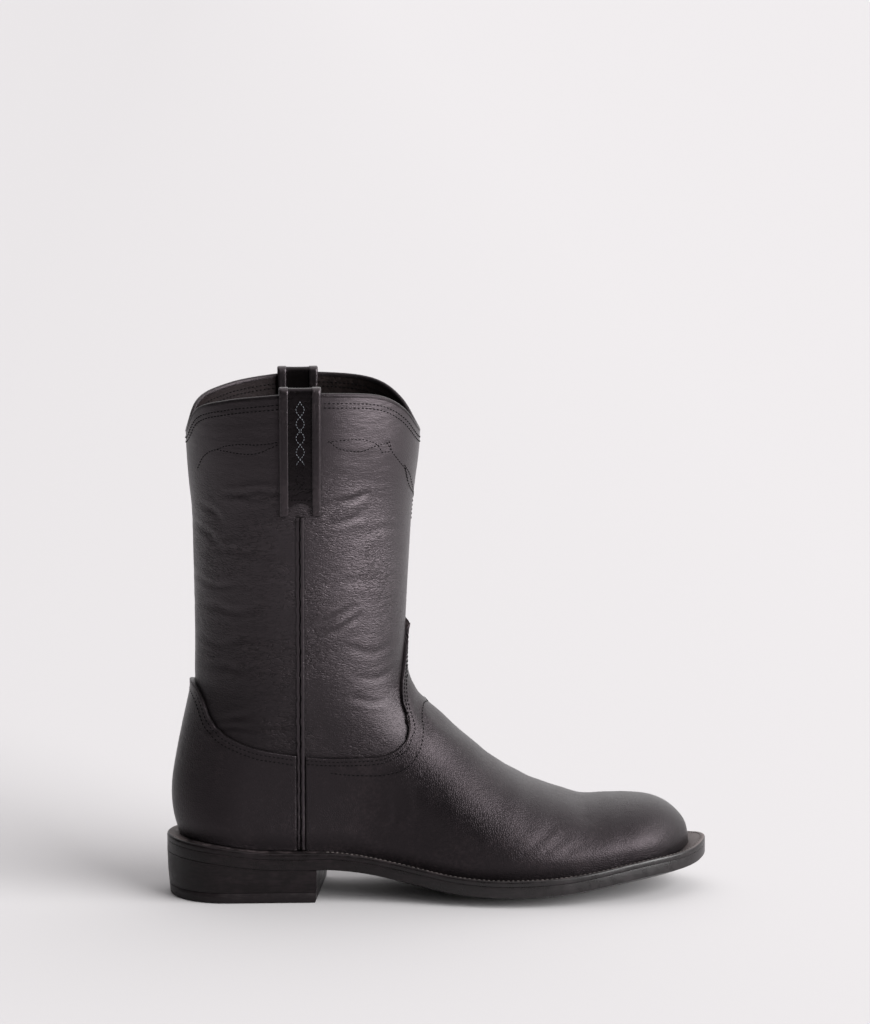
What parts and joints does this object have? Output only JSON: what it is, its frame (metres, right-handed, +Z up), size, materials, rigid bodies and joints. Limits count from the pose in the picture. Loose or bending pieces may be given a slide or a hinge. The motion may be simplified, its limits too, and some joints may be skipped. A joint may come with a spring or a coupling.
{
  "type": "roper boot",
  "caption": "Right roper boot: round toe, low block heel, tall scalloped shaft with looped pull straps, piped side seams, and a welt all round.",
  "frame": {"origin": "centre of the heel's rest face, on the floor", "axes": "+X from heel to toe, +Z up the shaft, +Y to the inner (medial) side"},
  "size_m": [0.3045, 0.1088, 0.2925],
  "materials": {
    "upper_leather": "black grained leather, satin",
    "lining_leather": "matte dark brown lining leather",
    "sole_edge": "dark stained and waxed edge",
    "welt_leather": "dark edge with a dusty grey top",
    "heel_rubber": "matte black rubber"
  },
  "bodies": {
    "root": {"upper": "upper_leather", "vamp": "upper_leather", "counter": "upper_leather", "side_piping_lateral": "upper_leather", "side_piping_medial": "upper_leather", "pull_strap_lateral": "upper_leather", "pull_strap_medial": "upper_leather", "collar_binding": "upper_leather", "insole": "lining_leather", "welt": "welt_leather", "outsole": "sole_edge", "heel_stack": "sole_edge", "heel_lift": "heel_rubber"}
  },
  "joints": []
}
